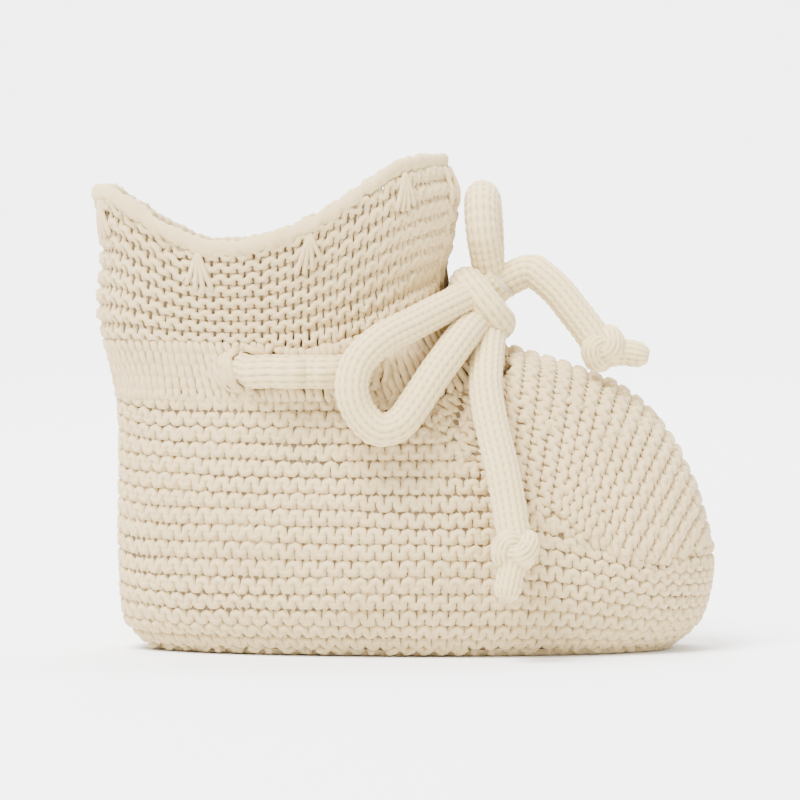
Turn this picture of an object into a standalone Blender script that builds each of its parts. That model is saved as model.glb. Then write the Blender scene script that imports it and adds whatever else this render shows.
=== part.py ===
"""Knitted baby bootie that ties at the ankle: garter-stitch foot wall, sole and instep panel,
eyelet band with a tubular knitted cord woven through it, and a garter cuff with a cast-off edge.

Metres, +Z up. The toe points to +X, the sole lies flat on z = 0, and the bootie is mirrored about y = 0
apart from the bow. Every knitted section is cut from one smooth outer form, so neighbours line up.
"""

import math

import bmesh
import bpy
from mathutils import Vector

# ---- driving dimensions ---------------------------------------------------------------------------
LENGTH = 0.1002            # heel to toe
WIDTH = 0.0480             # widest place of the foot
TOE_X = 0.0500             # where the toe ends; the heel ends at TOE_X - LENGTH
KNIT = 0.0028              # thickness of the garter fabric
BAND_KNIT = 0.0020         # thickness of the eyelet band, a thinner fabric
SOLE_KNIT = 0.0030         # thickness of the sole
GAP = 0.0003               # clearance between two pieces that touch
JOIN_GAP = 0.0006          # the same, measured upwards where the instep's join runs steeply
CORD = 0.0056              # diameter of the tie cord
BAND_HEIGHT = 0.0095       # eyelet band, measured at the heel
BAND_BASE = 0.0420         # lower edge of the eyelet band at the heel
BAND_RISE = 0.0095         # how much higher the band runs at the front
RIM_SIDE = 0.0682          # lowest place of the top edge, at the sides
RIM_FRONT_RISE = 0.0145    # the top edge's peak at the front, above its sides
RIM_BACK_RISE = 0.0090     # the top edge's peak at the heel, above its sides
EDGE_HEIGHT = 0.0030       # height of the cast-off edge
JOIN_START = 90.0          # degrees round from the toe where the instep panel's join leaves the band
EYELET_SPARE = 0.0011      # room round the cord in an eyelet
EYELET_WIDTH = 0.0140      # an eyelet's length along the band: the cord passes it slantwise
EYELETS = (30.0, 86.0, 112.0)    # degrees round from the front, on each side
SEAM_BEAD = 0.0016         # width of the sewn ridge inside the back and sole seams
KNOT_CENTRE = Vector((0.0128, -0.0005, 0.0588))
KNOT_HALF = Vector((0.0053, 0.0050, 0.0058))
END_KNOT = 0.0043          # radius of the stopper knot at a tie's end

# The outline at each height: height, heel x, toe or front x, half width. Between heights it is smooth.
# It is drawn for this length, width and toe, and is stretched to the sizes above.
DRAWN_LENGTH = 0.1002
DRAWN_WIDTH = 0.0480
DRAWN_TOE = 0.0500
LEVELS = (
    (0.000, -0.0445, 0.0425, 0.0180),
    (0.003, -0.0482, 0.0468, 0.0212),
    (0.008, -0.0497, 0.0492, 0.0232),
    (0.015, -0.0502, 0.0500, 0.0240),
    (0.022, -0.0502, 0.0488, 0.0234),
    (0.030, -0.0500, 0.0461, 0.0217),
    (0.038, -0.0499, 0.0414, 0.0194),
    (0.0445, -0.0505, 0.0342, 0.0174),
    (0.0485, -0.0515, 0.0240, 0.0164),
    (0.0515, -0.0524, 0.0138, 0.0160),
    (0.0560, -0.0535, 0.0075, 0.0159),
    (0.0610, -0.0532, 0.0050, 0.0163),
    (0.0660, -0.0527, 0.0064, 0.0171),
    (0.0760, -0.0538, 0.0074, 0.0184),
    (0.0840, -0.0540, 0.0040, 0.0186),
)
SQUARENESS = 2.25          # 2 is an ellipse; more is fuller at the corners
BALL_SHIFT = 0.0020        # how far the foot's widest place lies ahead of its middle
HEEL_NARROWING = 0.10      # share of the width that the heel loses at the foot
STEPS = 72                 # facets round the form


def blend_through(keys, x):
    """Smooth value at x through (x, value) pairs, with the slope of each key taken from its neighbours."""
    if x <= keys[0][0]:
        return keys[0][1]
    if x >= keys[-1][0]:
        return keys[-1][1]
    last = len(keys) - 1
    i = max(k for k in range(last) if keys[k][0] <= x)

    def slope(k):
        a = keys[max(k - 1, 0)]
        b = keys[min(k + 1, last)]
        return (b[1] - a[1]) / (b[0] - a[0])

    (x0, y0), (x1, y1) = keys[i], keys[i + 1]
    width = x1 - x0
    t = (x - x0) / width
    return ((1 + 2 * t) * (1 - t) ** 2 * y0 + t * (1 - t) ** 2 * width * slope(i)
            + t * t * (3 - 2 * t) * y1 + t * t * (t - 1) * width * slope(i + 1))


def smoothstep(t):
    t = min(max(t, 0.0), 1.0)
    return t * t * (3 - 2 * t)


def level(column, z):
    return blend_through([(row[0], row[column]) for row in LEVELS], z)


def form(degrees, z):
    """Point of the outer form at this angle round from the toe and this height."""
    stretch = LENGTH / DRAWN_LENGTH
    heel = TOE_X + (level(1, z) - DRAWN_TOE) * stretch
    front = TOE_X + (level(2, z) - DRAWN_TOE) * stretch
    half = level(3, z) * WIDTH / DRAWN_WIDTH
    middle = (heel + front) / 2 + BALL_SHIFT * smoothstep((0.045 - z) / 0.03)
    c = math.cos(math.radians(degrees))
    s = math.sin(math.radians(degrees))
    along = math.copysign(abs(c) ** (2 / SQUARENESS), c)
    across = math.copysign(abs(s) ** (2 / SQUARENESS), s)
    reach = front - middle if c > 0 else middle - heel
    narrow = 1 - HEEL_NARROWING * smoothstep(-along) * smoothstep((0.05 - z) / 0.02)
    return Vector((middle + reach * along, half * across * narrow, z))


def core_points():
    """Points on the middle plane that the form's walls are thickened towards."""
    points = [Vector((x / 1000, 0, 0.020)) for x in range(-32, 31, 6)]
    for z in range(28, 90, 6):
        points += [Vector((x / 1000, 0, z / 1000)) for x in range(-36, -7, 5)]
    return points


CORE = core_points()


def inward(point):
    """Unit direction from a point of the outer form into the body of the bootie."""
    pull = Vector((0, 0, 0))
    for core in CORE:
        step = core - point
        pull += step / max(step.length, 0.002) ** 8
    direction = pull.normalized()
    if point.z < 0.012:
        direction.z *= smoothstep(point.z / 0.012)
    return direction.normalized()


def band_base(degrees):
    return BAND_BASE + BAND_RISE * max(math.cos(math.radians(degrees)), 0) ** 1.5


def band_top(degrees):
    return band_base(degrees) + BAND_HEIGHT - 0.0010 * max(math.cos(math.radians(degrees)), 0)


def rim(degrees):
    c = math.cos(math.radians(degrees))
    front = RIM_FRONT_RISE * smoothstep((c + 0.22) / 1.12)
    back = RIM_BACK_RISE * smoothstep((-c - 0.30) / 1.0) * 1.55
    return RIM_SIDE + front + min(back, RIM_BACK_RISE)


def join_line(degrees):
    """Height of the join between the foot wall and the instep panel; behind it, the band's lower edge."""
    angle = abs(degrees)
    if angle >= JOIN_START:
        return band_base(degrees)
    keys = [(0, 0.0185), (20, 0.0168), (41, 0.0148), (55, 0.0180), (67, 0.0222), (76, 0.0285), (83, 0.0360)]
    keys.append((JOIN_START, band_base(JOIN_START)))
    return blend_through(keys, angle)


# ---- builders -------------------------------------------------------------------------------------
for old in list(bpy.data.objects):
    bpy.data.objects.remove(old)

bootie = bpy.data.collections.new("baby_bootie")
cutters = bpy.data.collections.new("cutters")
bpy.context.scene.collection.children.link(bootie)
bpy.context.scene.collection.children.link(cutters)


def material(name, colour, roughness):
    made = bpy.data.materials.new(name)
    made.use_nodes = True
    shader = made.node_tree.nodes["Principled BSDF"]
    shader.inputs["Base Color"].default_value = (*colour, 1)
    shader.inputs["Roughness"].default_value = roughness
    shader.inputs["Metallic"].default_value = 0.0
    return made


def add(name, mesh, colour, home=bootie):
    """Puts a mesh into the scene as a named piece with a material of its own."""
    piece = bpy.data.objects.new(name, mesh)
    home.objects.link(piece)
    mesh.materials.clear()
    mesh.materials.append(material(name + "_yarn", colour, 0.92))
    return piece


def face_out(bm):
    """Turns a closed body's faces outwards where they were built inwards."""
    if bm.calc_volume(signed=True) < 0:
        bmesh.ops.reverse_faces(bm, faces=bm.faces[:])


def loft(name, outer, inner, closed, colour):
    """One closed body between two grids of points, rows running round and columns going up."""
    bm = bmesh.new()
    skins = [[[bm.verts.new(p) for p in row] for row in grid] for grid in (outer, inner)]
    rows = len(outer)
    columns = len(outer[0])
    spans = columns if closed else columns - 1

    def quad(*corners):
        bm.faces.new(corners)

    for i in range(rows - 1):
        for j in range(spans):
            k = (j + 1) % columns
            quad(skins[0][i][j], skins[0][i][k], skins[0][i + 1][k], skins[0][i + 1][j])
            quad(skins[1][i][j], skins[1][i + 1][j], skins[1][i + 1][k], skins[1][i][k])
    for j in range(spans):
        k = (j + 1) % columns
        quad(skins[1][0][j], skins[1][0][k], skins[0][0][k], skins[0][0][j])
        quad(skins[0][-1][j], skins[0][-1][k], skins[1][-1][k], skins[1][-1][j])
    if not closed:
        for i in range(rows - 1):
            quad(skins[0][i][0], skins[0][i + 1][0], skins[1][i + 1][0], skins[1][i][0])
            quad(skins[0][i][-1], skins[1][i][-1], skins[1][i + 1][-1], skins[0][i + 1][-1])
    face_out(bm)
    mesh = bpy.data.meshes.new(name)
    bm.to_mesh(mesh)
    bm.free()
    mesh.shade_smooth()
    mesh.set_sharp_from_angle(angle=math.radians(50))
    return add(name, mesh, colour)


def knitted(name, angles, low, high, rows, knit, colour, closed=True):
    """A section of the form between two edges given as heights round the form."""
    outer = []
    for i in range(rows + 1):
        share = i / rows
        outer.append([form(a, low(a) + (high(a) - low(a)) * share) for a in angles])
    inner = [[p + inward(p) * knit for p in row] for row in outer]
    return loft(name, outer, inner, closed, colour)


def smooth_route(points, spacing):
    """Evenly spaced points on a smooth curve through a route's own points."""
    fine = []
    ends = [points[0] * 2 - points[1]] + points + [points[-1] * 2 - points[-2]]
    for a, b, c, d in zip(ends, ends[1:], ends[2:], ends[3:]):
        for k in range(24):
            t = k / 24
            fine.append(((b * 2) + (c - a) * t + (a * 2 - b * 5 + c * 4 - d) * t ** 2
                         + (b * 3 - a - c * 3 + d) * t ** 3) / 2)
    fine.append(points[-1])
    total = sum((q - p).length for p, q in zip(fine, fine[1:]))
    count = max(3, round(total / spacing))
    placed = [fine[0]]
    walked = 0.0
    for p, q in zip(fine, fine[1:]):
        walked += (q - p).length
        if walked >= total * len(placed) / count and len(placed) < count:
            placed.append(q)
    return placed + [fine[-1]]


def tube(name, points, diameter, colour, parent=None, sides=2):
    """A cord along a route: a bevelled curve made a mesh, with its caps welded on."""
    curve = bpy.data.curves.new(name, "CURVE")
    curve.dimensions = "3D"
    curve.bevel_depth = diameter / 2
    curve.bevel_resolution = sides
    curve.use_fill_caps = True
    spline = curve.splines.new("POLY")
    spline.points.add(len(points) - 1)
    for spot, point in zip(spline.points, points):
        spot.co = (*point, 1)
    guide = bpy.data.objects.new(name + "_guide", curve)
    bootie.objects.link(guide)
    bpy.context.view_layer.update()
    shape = guide.evaluated_get(bpy.context.evaluated_depsgraph_get())
    mesh = bpy.data.meshes.new_from_object(shape)
    bpy.data.objects.remove(guide)
    bm = bmesh.new()
    bm.from_mesh(mesh)
    bmesh.ops.remove_doubles(bm, verts=bm.verts, dist=0.000001)
    face_out(bm)
    bm.to_mesh(mesh)
    bm.free()
    mesh.name = name
    mesh.shade_smooth()
    mesh.set_sharp_from_angle(angle=math.radians(50))
    return rest_on(add(name, mesh, colour), parent)


def ball(name, centre, half, colour, parent=None):
    """A rounded knot: a sphere stretched to the knot's half sizes."""
    bm = bmesh.new()
    bmesh.ops.create_uvsphere(bm, u_segments=20, v_segments=12, radius=1.0)
    bmesh.ops.scale(bm, vec=half, verts=bm.verts)
    mesh = bpy.data.meshes.new(name)
    bm.to_mesh(mesh)
    bm.free()
    mesh.shade_smooth()
    piece = add(name, mesh, colour)
    piece.location = centre
    return rest_on(piece, parent)


def rest_on(piece, parent):
    """Parents a piece to the empty on its joint's axis, keeping its place."""
    if parent:
        bpy.context.view_layer.update()
        piece.parent = parent
        piece.matrix_parent_inverse = parent.matrix_world.inverted()
    return piece


def pivot(name):
    """An empty in the middle of the bow knot, which a loop or an end swings about."""
    empty = bpy.data.objects.new(name, None)
    empty.location = KNOT_CENTRE
    bootie.objects.link(empty)
    bpy.context.view_layer.update()
    return empty


def cut(piece, cutter):
    bite = piece.modifiers.new(cutter.name, "BOOLEAN")
    bite.operation = "DIFFERENCE"
    bite.solver = "EXACT"
    bite.object = cutter


def hide_cutter(cutter):
    cutter.hide_render = True
    cutter.display_type = "WIRE"


CREAM = (0.79, 0.72, 0.57)
CREAM_DEEP = (0.72, 0.64, 0.49)
CORD_CREAM = (0.83, 0.77, 0.64)

# ---- foot -----------------------------------------------------------------------------------------
# The wall is one strip of garter knit right round the foot; its two ends meet at the back seam.
BACK_OPEN = 0.5            # degrees left between the strip's ends at the heel
around = [-180 + 360 * k / STEPS for k in range(STEPS)]
strip = [-180 + BACK_OPEN] + around[1:] + [180 - BACK_OPEN]
knitted("foot_wall", strip, lambda a: 0.0, lambda a: join_line(a) - JOIN_GAP / 2, 9, KNIT, CREAM,
        closed=False)


def sole_outline():
    """The sole fills the inside of the wall's hem."""
    points = []
    for a in around:
        edge = form(a, 0)
        points.append(edge + inward(edge) * (KNIT + GAP))
    return points


outline = bpy.data.curves.new("sole_outline", "CURVE")
outline.dimensions = "2D"
outline.fill_mode = "BOTH"
outline.extrude = SOLE_KNIT / 2
path = outline.splines.new("POLY")
path.points.add(STEPS - 1)
path.use_cyclic_u = True
for spot, point in zip(path.points, sole_outline()):
    spot.co = (point.x, point.y, 0, 1)
sole_guide = bpy.data.objects.new("sole_guide", outline)
sole_guide.location.z = SOLE_KNIT / 2
bootie.objects.link(sole_guide)
bpy.context.view_layer.update()
sole_mesh = bpy.data.meshes.new_from_object(sole_guide.evaluated_get(bpy.context.evaluated_depsgraph_get()))
bm = bmesh.new()
bm.from_mesh(sole_mesh)
bmesh.ops.remove_doubles(bm, verts=bm.verts, dist=0.000001)
face_out(bm)
bm.to_mesh(sole_mesh)
bm.free()
sole = add("sole", sole_mesh, CREAM_DEEP)
sole.location = sole_guide.location
bpy.data.objects.remove(sole_guide)

# The instep panel is knitted out from the band and joined to the wall along both sides and the toe.
PANEL_STEPS = 17           # facets of the form on each side of the toe that the panel reaches
panel_angles = [360 / STEPS * k for k in range(-PANEL_STEPS, PANEL_STEPS + 1)]
knitted("instep_panel", panel_angles, lambda a: join_line(a) + JOIN_GAP / 2,
        lambda a: band_base(a) - GAP / 2, 10, KNIT, CREAM, closed=False)

# ---- ankle and cuff -------------------------------------------------------------------------------
band = knitted("ankle_band", around, lambda a: band_base(a) + GAP / 2, lambda a: band_top(a) - GAP / 2,
               4, BAND_KNIT, CREAM)


def cord_height(degrees):
    return (band_base(degrees) + band_top(degrees)) / 2


def band_point(degrees, offset):
    """Point on the cord's line round the ankle, this far outside the band's outer face."""
    surface = form(degrees, cord_height(degrees))
    return surface - inward(surface) * offset


def eyelet(side, degrees):
    """A slot through the band, wide enough for the cord to pass slantwise."""
    angle = side * degrees
    centre = band_point(angle, -BAND_KNIT / 2)
    outward = -inward(form(angle, cord_height(angle)))
    outward.z = 0
    tangent = (band_point(angle + 1, 0) - band_point(angle - 1, 0)).normalized()
    bpy.ops.mesh.primitive_cube_add(size=1)
    slot = bpy.context.active_object
    slot.name = f"eyelet_cutter_{'left' if side > 0 else 'right'}_{round(degrees)}"
    for home in list(slot.users_collection):
        home.objects.unlink(slot)
    cutters.objects.link(slot)
    up = tangent.cross(outward).normalized()
    across = up.cross(tangent).normalized()
    size = Vector((EYELET_WIDTH, BAND_KNIT * 6, CORD + 2 * EYELET_SPARE))
    bm = bmesh.new()
    bm.from_mesh(slot.data)
    for vert in bm.verts:
        x, y, z = (vert.co[k] * size[k] for k in range(3))
        vert.co = centre + tangent * x + across * y + up * z
    bm.normal_update()
    bmesh.ops.bevel(bm, geom=bm.edges[:], offset=0.0012, offset_type="OFFSET", segments=2, profile=0.5,
                    affect="EDGES", material=-1)
    bm.to_mesh(slot.data)
    bm.free()
    hide_cutter(slot)
    cut(band, slot)


for side in (1, -1):
    for degrees in EYELETS:
        eyelet(side, degrees)

knitted("cuff", around, lambda a: band_top(a) + GAP / 2, lambda a: rim(a) - EDGE_HEIGHT - GAP / 2,
        6, KNIT, CREAM)
knitted("cuff_edge", around, lambda a: rim(a) - EDGE_HEIGHT + GAP / 2, rim, 2, KNIT, CREAM)

# ---- seams, sewn on the inside --------------------------------------------------------------------
HEM = 0.0060               # height at which the back seam starts, above the sole
SEAM_SPARE = 0.0010        # a seam stops this far short of the edges of its fabric
SOLE_SEAM_SPARE = 0.0040   # and the sole's seam this far inside the wall
JOIN_SEAM_END = 74.0       # degrees round from the toe where the instep's seam ends


def inner_route(angles, heights, knit):
    """Points just inside the fabric, for a sewn ridge that lies against it."""
    route = []
    for a, z in zip(angles, heights):
        surface = form(a, z)
        route.append(surface + inward(surface) * (knit + GAP + SEAM_BEAD / 2))
    return route


heel_heights = [HEM + (BAND_BASE - SEAM_SPARE - HEM) * k / 14 for k in range(15)]
tube("heel_seam", inner_route([180] * 15, heel_heights, KNIT), SEAM_BEAD, CREAM_DEEP)
cuff_low = band_top(180) + SEAM_SPARE
cuff_high = rim(180) - EDGE_HEIGHT - SEAM_SPARE
cuff_heights = [cuff_low + (cuff_high - cuff_low) * k / 10 for k in range(11)]
tube("cuff_seam", inner_route([180] * 11, cuff_heights, KNIT), SEAM_BEAD, CREAM_DEEP)

sole_back = form(180, 0).x + KNIT + SOLE_SEAM_SPARE
sole_front = form(0, 0).x - KNIT - SOLE_SEAM_SPARE
sole_line = [Vector((sole_back + (sole_front - sole_back) * k / 24, 0, SOLE_KNIT + GAP + SEAM_BEAD / 2))
             for k in range(25)]
tube("sole_seam", sole_line, SEAM_BEAD, CREAM_DEEP)

join_angles = [JOIN_SEAM_END * (k / 20 - 1) for k in range(41)]
join_heights = [join_line(a) for a in join_angles]
tube("instep_seam", inner_route(join_angles, join_heights, KNIT), SEAM_BEAD, CREAM_DEEP)

# ---- tie cord round the ankle ---------------------------------------------------------------------
SLACK = 0.0003             # the cord stands this far off the band where it lies on it
SAG = 0.0011               # and this far off it where it runs behind it
OUTSIDE = CORD / 2 + GAP + SLACK
INSIDE = -(BAND_KNIT + CORD / 2 + GAP + SAG)
CROSSING = 0.0050          # half of the stretch in which the cord passes through an eyelet


def weave(degrees):
    """How far outside the band the cord runs: in behind it, out between the side eyelets, out to the bow."""
    angle = abs(degrees)
    offset = OUTSIDE
    for place, (before, after) in zip(EYELETS, ((OUTSIDE, INSIDE), (INSIDE, OUTSIDE), (OUTSIDE, INSIDE))):
        half = CROSSING / (band_point(place + 0.5, 0) - band_point(place - 0.5, 0)).length
        share = smoothstep((angle - place + half) / (2 * half))
        if angle > place - half:
            offset = before + (after - before) * share
    return offset


CORD_START = EYELETS[0] - 1.0      # the run is counted from inside one front eyelet to the other
run_angles = [CORD_START + (360 - 2 * CORD_START) * k / 140 for k in range(141)]
run_angles = [a if a <= 180 else a - 360 for a in run_angles]
ankle_route = [band_point(a, weave(a)) for a in run_angles]
tube("ankle_cord", smooth_route(ankle_route, CORD * 0.42), CORD, CORD_CREAM)

# ---- bow ------------------------------------------------------------------------------------------
ball("bow_knot", KNOT_CENTRE, KNOT_HALF, CORD_CREAM)


def millimetres(route):
    return [Vector(p) / 1000 for p in route]


def knot_gap(direction):
    """Point just clear of the bow knot in this direction from its middle."""
    ray = Vector(direction).normalized()
    reach = 1 / math.sqrt(sum((ray[k] / KNOT_HALF[k]) ** 2 for k in range(3)))
    return KNOT_CENTRE + ray * (reach + GAP * 2)


SIDE_LOOP = [(9.2, -8.6, 60.8), (4.6, -14.0, 58.0), (-0.7, -18.6, 54.8), (-5.8, -22.6, 51.9),
             (-9.4, -25.0, 48.4), (-10.4, -25.8, 44.4), (-9.2, -25.2, 40.4), (-6.2, -24.8, 37.6),
             (-2.8, -24.2, 38.4), (-0.2, -23.0, 41.6), (2.6, -21.0, 45.8), (5.6, -18.0, 49.8),
             (8.0, -14.8, 52.8), (9.8, -11.6, 54.4)]
TOP_LOOP = [(11.6, -2.6, 65.8), (11.0, -3.8, 69.4), (10.8, -2.4, 73.0), (11.0, 1.6, 75.0),
            (11.6, 6.4, 74.2), (12.0, 10.0, 70.6), (12.2, 10.6, 66.2), (12.2, 8.8, 62.4)]
SIDE_END = [(15.2, -11.0, 53.4), (14.4, -15.6, 49.8), (13.2, -19.6, 44.0), (12.8, -22.2, 37.6),
            (13.9, -24.4, 31.4), (15.0, -26.2, 25.4), (15.4, -27.2, 22.6)]
FRONT_END = [(18.8, -2.4, 62.8), (21.2, -3.4, 61.6), (23.8, -4.4, 59.2), (26.0, -5.2, 56.4),
             (28.2, -5.8, 53.6)]

loop_side_pivot = pivot("bow_loop_side_pivot")
tube("bow_loop_side", smooth_route(millimetres(SIDE_LOOP), CORD * 0.5), CORD, CORD_CREAM, loop_side_pivot)
loop_top_pivot = pivot("bow_loop_top_pivot")
tube("bow_loop_top", smooth_route(millimetres(TOP_LOOP), CORD * 0.5), CORD, CORD_CREAM, loop_top_pivot)


def tie_end(name, route, turn, tip_length):
    """A free end: cord, stopper knot and the short tip that stands out of it, one behind the other."""
    swing = pivot(name + "_pivot")
    points = millimetres(route)
    tube(name, smooth_route(points, CORD * 0.5), CORD, CORD_CREAM, swing)
    ahead = (points[-1] - points[-2]).normalized()
    centre = points[-1] + ahead * (END_KNOT + GAP)
    ball(name + "_knot", centre, Vector((END_KNOT, END_KNOT, END_KNOT)), CORD_CREAM, swing)
    out = (ahead + Vector(turn)).normalized()
    start = centre + out * (END_KNOT + GAP)
    tube(name + "_tip", [start, start + out * tip_length / 2, start + out * tip_length],
         CORD * 0.75, CORD_CREAM, swing)


SIDE_TIP = 0.0040          # how far the cord's tips stand out of their stopper knots
FRONT_TIP = 0.0030
tie_end("tie_end_side", SIDE_END, (-0.35, 0.05, -0.1), SIDE_TIP)
tie_end("tie_end_front", FRONT_END, (0.75, 0.1, 0.55), FRONT_TIP)
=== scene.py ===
import math

import bmesh
import bpy
import numpy as np
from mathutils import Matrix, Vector
from mathutils.bvhtree import BVHTree
from mathutils.kdtree import KDTree


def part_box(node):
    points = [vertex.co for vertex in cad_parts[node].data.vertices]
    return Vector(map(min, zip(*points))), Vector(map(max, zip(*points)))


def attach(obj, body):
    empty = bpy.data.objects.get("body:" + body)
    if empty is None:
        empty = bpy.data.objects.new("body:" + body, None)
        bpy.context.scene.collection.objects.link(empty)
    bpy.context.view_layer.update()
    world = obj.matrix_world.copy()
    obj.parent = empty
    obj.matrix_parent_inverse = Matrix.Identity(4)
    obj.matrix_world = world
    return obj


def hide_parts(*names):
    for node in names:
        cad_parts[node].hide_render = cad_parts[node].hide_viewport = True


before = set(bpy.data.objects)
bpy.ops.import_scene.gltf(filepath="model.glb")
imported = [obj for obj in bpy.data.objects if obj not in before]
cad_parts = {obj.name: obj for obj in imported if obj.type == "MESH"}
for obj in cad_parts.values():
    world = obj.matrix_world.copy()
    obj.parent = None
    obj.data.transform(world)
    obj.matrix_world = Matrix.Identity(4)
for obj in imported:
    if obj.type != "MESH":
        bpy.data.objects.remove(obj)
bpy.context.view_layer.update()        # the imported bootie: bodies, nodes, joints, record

# ======================================================================================
# Camera. A long lens a little above level, looking square at the side of the bootie
# that carries the bow's hanging loop.
# ======================================================================================
CAMERA_AWAY = 0.90
CAMERA_RISE = math.radians(2.5)
CAMERA_AIM = Vector((-0.0026, -0.010, 0.0417))
FRAME_WIDTH = 0.1316       # what the picture spans at the aim
SENSOR_MM = 36.0


def place_camera():
    """The camera, aimed at the middle of the bootie."""
    lens = bpy.data.cameras.new("camera")
    lens.sensor_width = SENSOR_MM
    lens.lens = SENSOR_MM * CAMERA_AWAY / FRAME_WIDTH
    lens.clip_start = 0.01
    camera = bpy.data.objects.new("camera", lens)
    bpy.context.scene.collection.objects.link(camera)
    back = Vector((0, -math.cos(CAMERA_RISE), math.sin(CAMERA_RISE)))
    camera.location = CAMERA_AIM + back * CAMERA_AWAY
    camera.rotation_euler = (-back).to_track_quat("-Z", "Y").to_euler()
    bpy.context.scene.camera = camera


place_camera()


# ======================================================================================
# Foot wall. One strip of garter knit round the foot, of soft-spun undyed cotton and
# wool, cast on under the sole's edge and worked up to the ankle; at the front it stops
# at the join with the instep panel. Its rows are laid on the CAD solid's outer face.
# ======================================================================================
def linear(hex_colour):
    """sRGB hex to the linear values that a shader takes."""
    parts = [int(hex_colour[i:i + 2], 16) / 255 for i in (1, 3, 5)]
    return [p / 12.92 if p <= 0.04045 else ((p + 0.055) / 1.055) ** 2.4 for p in parts] + [1.0]


def node(tree, kind, settings=None, links=None):
    """Adds a node, sets its properties and sockets, and links its inputs."""
    made = tree.nodes.new(kind)
    for name, value in (settings or {}).items():
        if isinstance(name, str) and hasattr(made, name):
            setattr(made, name, value)
        else:
            made.inputs[name].default_value = value
    for name, source in (links or {}).items():
        tree.links.new(source, made.inputs[name])
    return made


SHADE_MM = 6.25            # spun yarn changes shade slowly, over about this length
FIBRES_PER_MM = 5.2        # loose fibres; real ones are finer and would not show
GROOVE = "#B29E76"         # yarn in the shade between two columns of stitches


def yarn_material(name, pale, warm, ply_mm, ply_height, fuzz_height, columns=0):
    """Soft spun cotton yarn: matt, with a sheen of loose fibres at its edges, a slow change of shade,
    a two-ply twist along the strand, and fine fuzz. It reads the strand's own UV map, in which u is mm
    along the yarn and v is once round it. A knitted tube has columns of stitches, with painted shade
    in the grooves between their legs and between the links of their stitches."""
    made = bpy.data.materials.new(name)
    made.use_nodes = True
    tree = made.node_tree
    shader = tree.nodes["Principled BSDF"]
    shader.inputs["Roughness"].default_value = 0.92
    shader.inputs["Specular IOR Level"].default_value = 0.25
    shader.inputs["Sheen Weight"].default_value = 0.35
    shader.inputs["Sheen Roughness"].default_value = 0.55
    shader.inputs["Sheen Tint"].default_value = linear("#FFF8EA")
    place = node(tree, "ShaderNodeTexCoord")
    shade = node(tree, "ShaderNodeTexNoise", {"Scale": 1000 / SHADE_MM, "Detail": 2.0},
                 {"Vector": place.outputs["Object"]})
    fibre = node(tree, "ShaderNodeTexNoise",
                 {"Scale": 1000 * FIBRES_PER_MM, "Detail": 3.0, "Roughness": 0.65},
                 {"Vector": place.outputs["Object"]})
    share = node(tree, "ShaderNodeMath", {"operation": "MULTIPLY_ADD", 1: 0.45, 2: 0.28},
                 {0: fibre.outputs["Fac"]})
    both = node(tree, "ShaderNodeMath", {"operation": "MULTIPLY_ADD", 1: 0.5},
                {0: shade.outputs["Fac"], 2: share.outputs["Value"]})
    colour = node(tree, "ShaderNodeMix", {"data_type": "RGBA", "clamp_factor": True},
                  {"Factor": both.outputs["Value"]})
    colour.inputs["A"].default_value = linear(warm)
    colour.inputs["B"].default_value = linear(pale)
    tree.links.new(colour.outputs["Result"], shader.inputs["Base Color"])
    if columns:
        strand = node(tree, "ShaderNodeUVMap", {"uv_map": "strand"})
        parts = node(tree, "ShaderNodeSeparateXYZ", {}, {"Vector": strand.outputs["UV"]})
        legs = node(tree, "ShaderNodeMath", {"operation": "MULTIPLY", 1: math.pi * columns},
                    {0: parts.outputs["Y"]})
        wave = node(tree, "ShaderNodeMath", {"operation": "SINE"}, {0: legs.outputs["Value"]})
        high = node(tree, "ShaderNodeMath", {"operation": "ABSOLUTE"}, {0: wave.outputs["Value"]})
        lean = node(tree, "ShaderNodeMath", {"operation": "MULTIPLY", 1: 2.2}, {0: high.outputs["Value"]})
        ahead = node(tree, "ShaderNodeMath", {"operation": "MULTIPLY_ADD", 1: 2 * math.pi / ply_mm},
                     {0: parts.outputs["X"], 2: lean.outputs["Value"]})
        link = node(tree, "ShaderNodeMath", {"operation": "SINE"}, {0: ahead.outputs["Value"]})
        both = node(tree, "ShaderNodeMath", {"operation": "MULTIPLY_ADD", 1: 0.30},
                    {0: link.outputs["Value"], 2: high.outputs["Value"]})
        share = node(tree, "ShaderNodeMapRange", {"From Min": -0.1, "From Max": 0.75},
                     {"Value": both.outputs["Value"]})
        # painted shade: the cord's yarn is darkened towards the grooves between its columns and between its
        # stitch links
        groove_shade = node(tree, "ShaderNodeMix", {"data_type": "RGBA"}, {"Factor": share.outputs["Result"]})
        groove_shade.inputs["A"].default_value = linear(GROOVE)
        tree.links.new(colour.outputs["Result"], groove_shade.inputs["B"])
        tree.links.new(groove_shade.outputs["Result"], shader.inputs["Base Color"])
    spun = node(tree, "ShaderNodeUVMap", {"uv_map": "strand"})
    turned = node(tree, "ShaderNodeMapping", {}, {"Vector": spun.outputs["UV"]})
    turned.inputs["Scale"].default_value = (1 / ply_mm, 2.0, 1.0)
    ply = node(tree, "ShaderNodeTexWave", {"wave_type": "BANDS", "bands_direction": "DIAGONAL",
                                           "Scale": 0.5, "Distortion": 0.6, "Detail": 1.0},
               {"Vector": turned.outputs["Vector"]})
    twist = node(tree, "ShaderNodeBump", {"Strength": 0.6, "Distance": ply_height},
                 {"Height": ply.outputs["Fac"]})
    fuzz = node(tree, "ShaderNodeBump", {"Strength": 0.7, "Distance": fuzz_height},
                {"Height": fibre.outputs["Fac"], "Normal": twist.outputs["Normal"]})
    tree.links.new(fuzz.outputs["Normal"], shader.inputs["Normal"])
    return made


yarn = yarn_material("spun_cotton_yarn", "#D4BD8D", "#B59A66", ply_mm=1.6, ply_height=0.00014,
                     fuzz_height=0.00012)


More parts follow.
